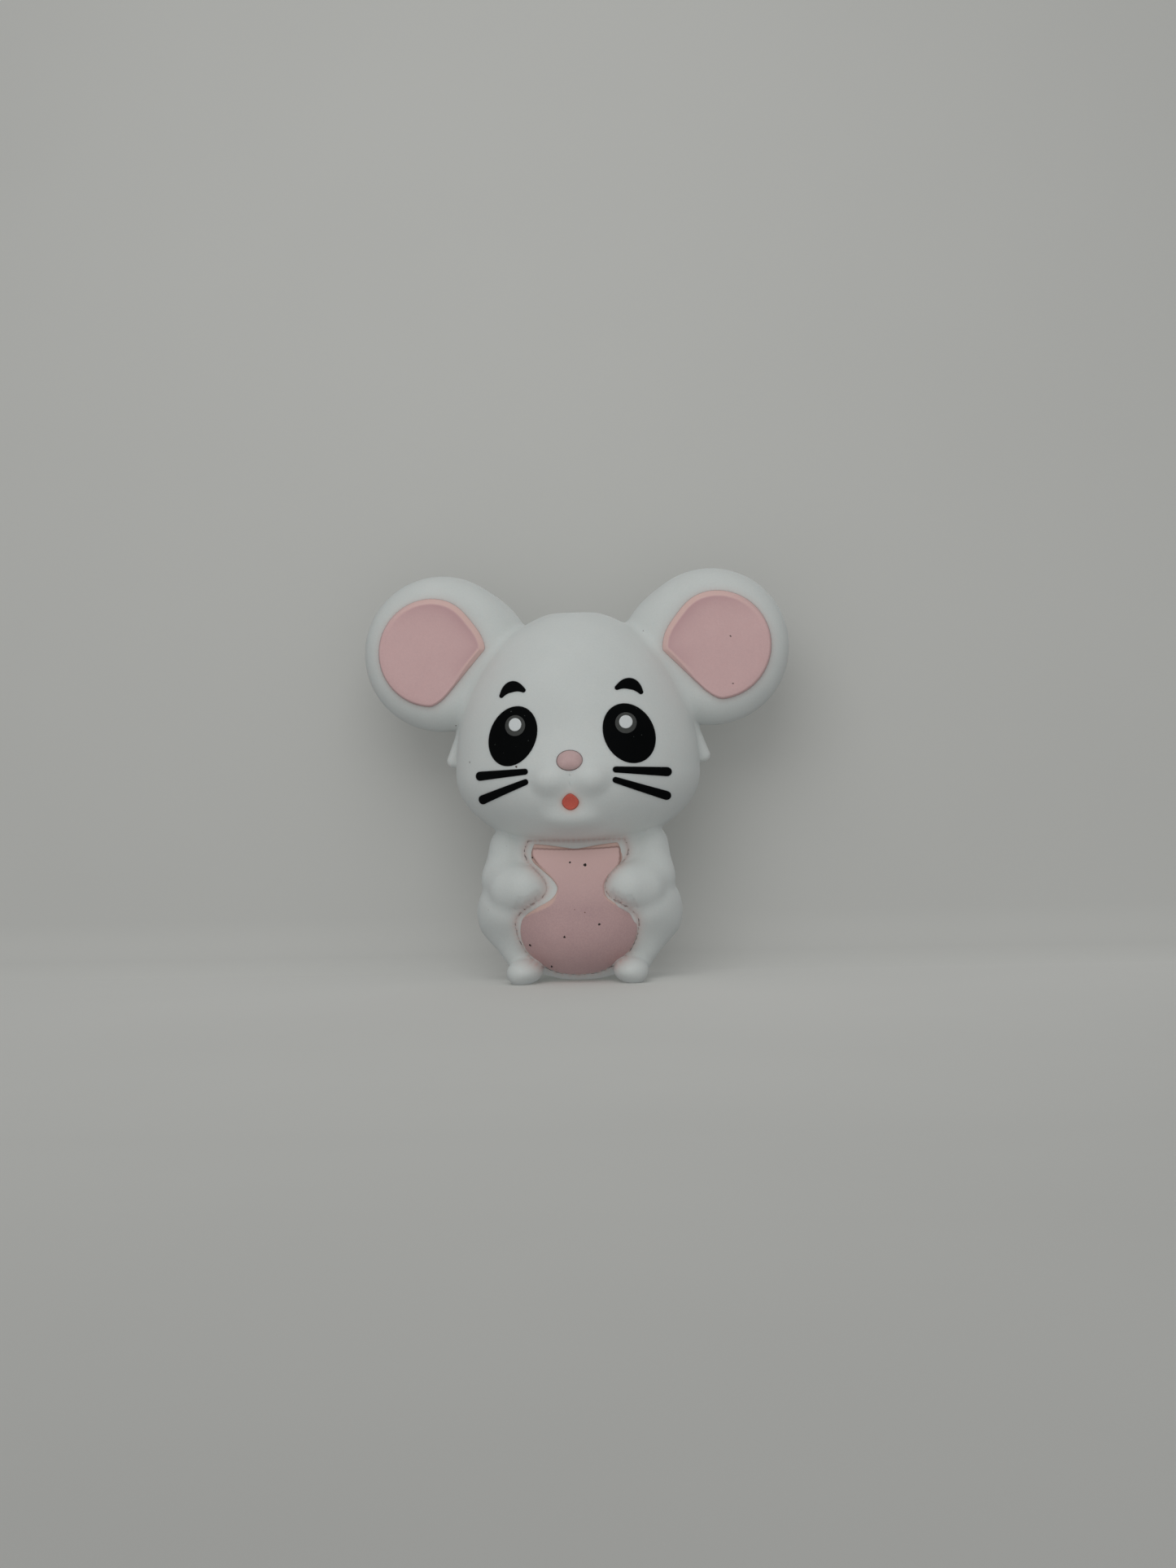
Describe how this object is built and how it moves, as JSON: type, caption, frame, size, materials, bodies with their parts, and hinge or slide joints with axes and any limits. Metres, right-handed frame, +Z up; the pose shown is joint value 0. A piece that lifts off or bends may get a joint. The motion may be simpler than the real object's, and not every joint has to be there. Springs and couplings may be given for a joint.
{
  "type": "silicone mouse bead",
  "caption": "Soft white bead shaped as a sitting mouse, with pink belly and ears and a vertical threading hole.",
  "frame": {"origin": "on the axis of the threading hole at the flat seat under the body", "axes": "+Z up along the threading hole, towards the top of the head; -Y towards the face; +X to the viewer's right when looking at the face"},
  "size_m": [0.03, 0.0154, 0.0284],
  "materials": {
    "white_silicone": "satin",
    "belly_pink": "satin",
    "ear_pink": "satin",
    "nose_pink": "satin",
    "mouth_coral": "satin",
    "black_silicone": "satin",
    "ring_grey": "satin",
    "glint_white": "satin"
  },
  "bodies": {
    "root": {"body": "white_silicone", "belly_panel": "belly_pink", "ear_inlay_left": "ear_pink", "ear_inlay_right": "ear_pink", "nose": "nose_pink", "mouth": "mouth_coral", "eye_left": "black_silicone", "eye_ring_left": "ring_grey", "eye_glint_left": "glint_white", "brow_left": "black_silicone", "whisker_upper_left": "black_silicone", "whisker_lower_left": "black_silicone", "eye_right": "black_silicone", "eye_ring_right": "ring_grey", "eye_glint_right": "glint_white", "brow_right": "black_silicone", "whisker_upper_right": "black_silicone", "whisker_lower_right": "black_silicone"}
  },
  "joints": []
}
